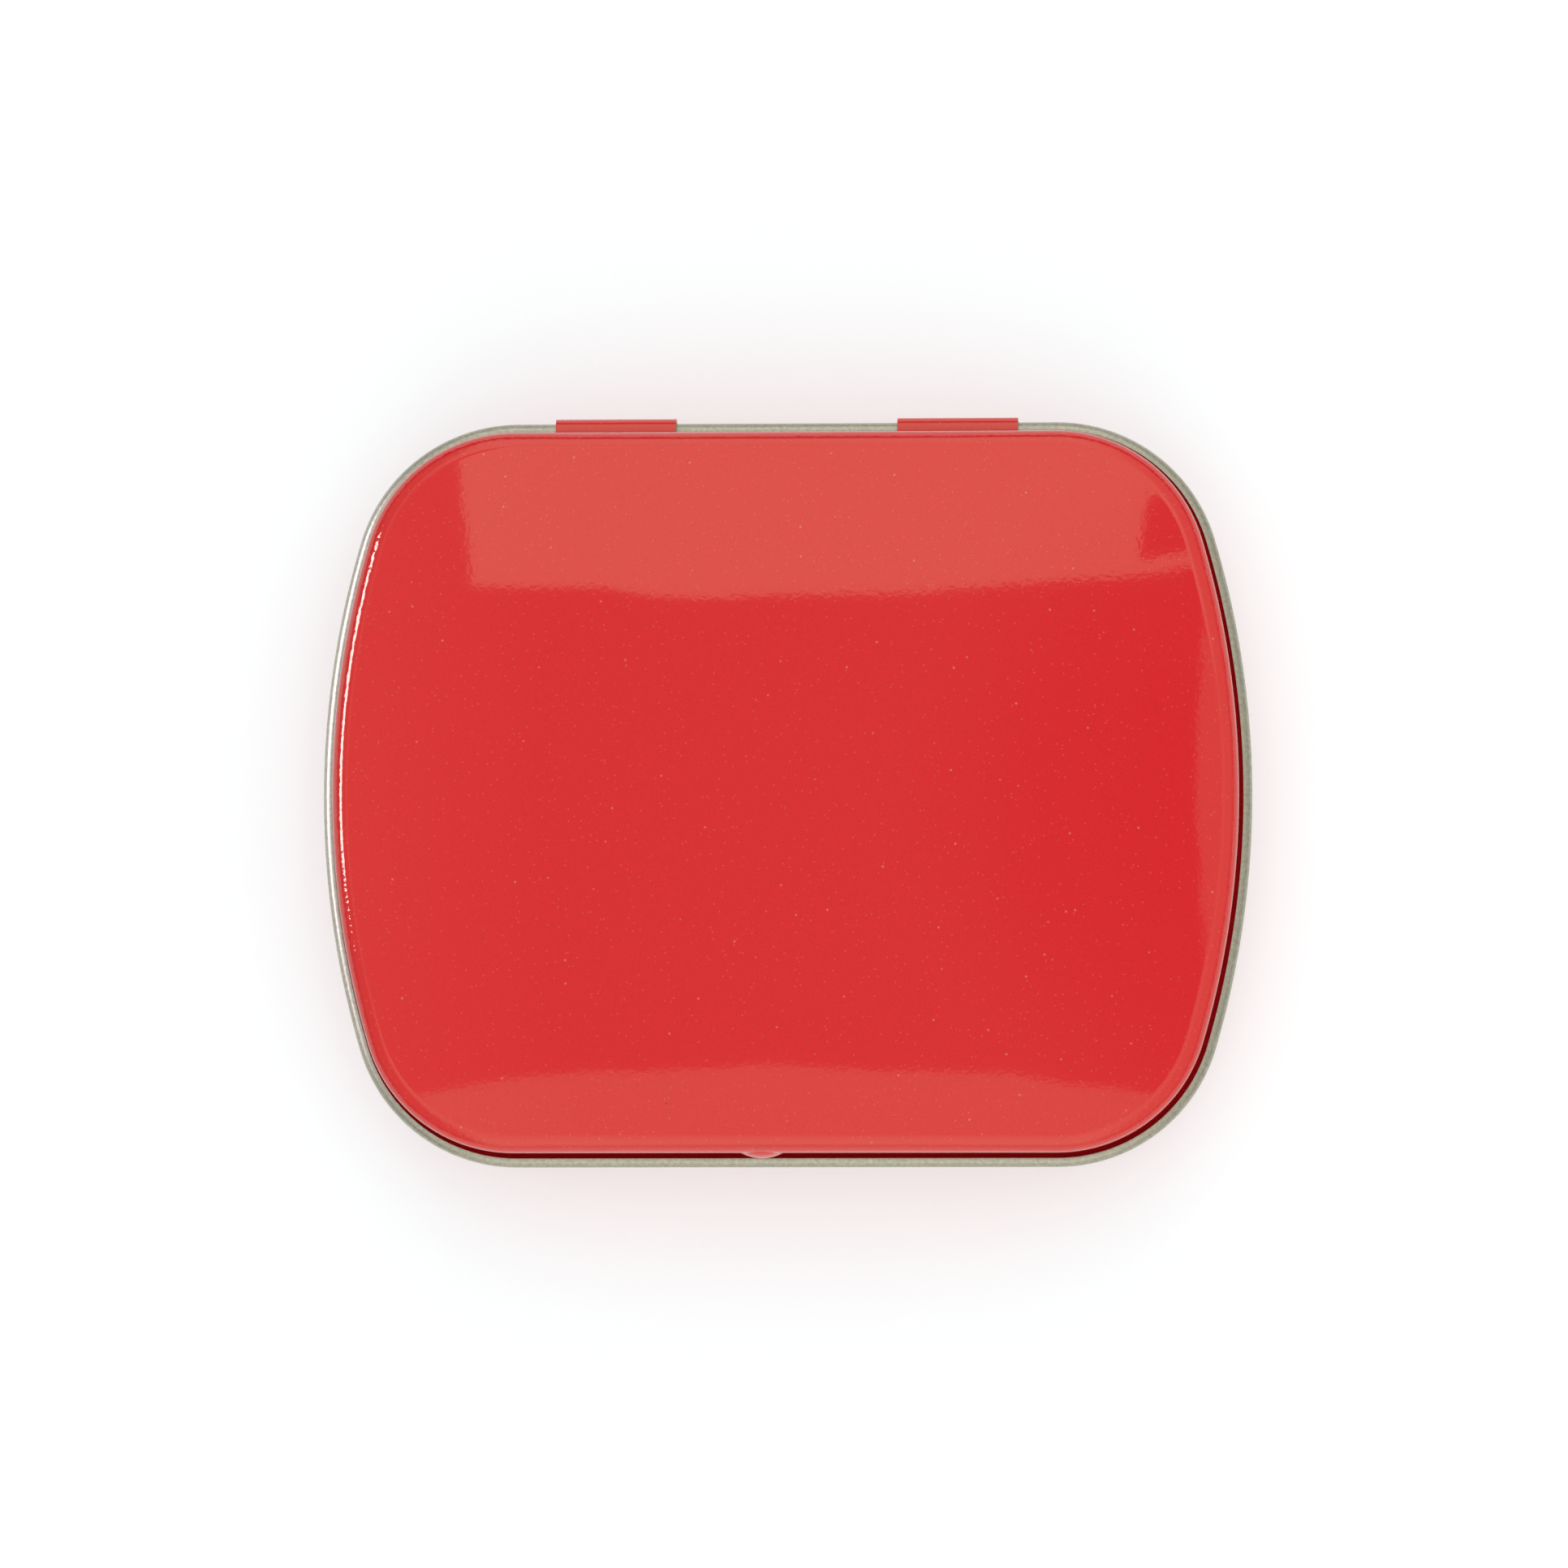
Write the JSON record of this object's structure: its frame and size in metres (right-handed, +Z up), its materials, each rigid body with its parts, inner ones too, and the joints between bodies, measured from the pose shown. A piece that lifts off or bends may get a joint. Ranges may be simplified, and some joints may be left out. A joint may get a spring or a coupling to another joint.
{
  "type": "hinged mint tin",
  "caption": "Shallow lacquered tinplate box with rounded corners and a hinged lid with a rolled edge, for carrying mints and other small things.",
  "frame": {"origin": "on the resting plane, under the middle of the tin's outline", "axes": "+X across the tin towards its right side, +Y from the front towards the hinge, +Z up"},
  "size_m": [0.06, 0.0484, 0.015],
  "materials": {
    "base_lacquer": "glossy red lacquer on tinplate",
    "lid_lacquer": "glossy red lacquer on tinplate"
  },
  "bodies": {
    "base": {"base": "base_lacquer"},
    "lid": {"lid": "lid_lacquer"}
  },
  "joints": [
    {"name": "lid_hinge", "type": "hinge", "parent": "base", "child": "lid", "pos_m": [0, 0.02351, 0.01005], "axis": [-1, 0, 0], "range_deg": [0, 110]}
  ]
}
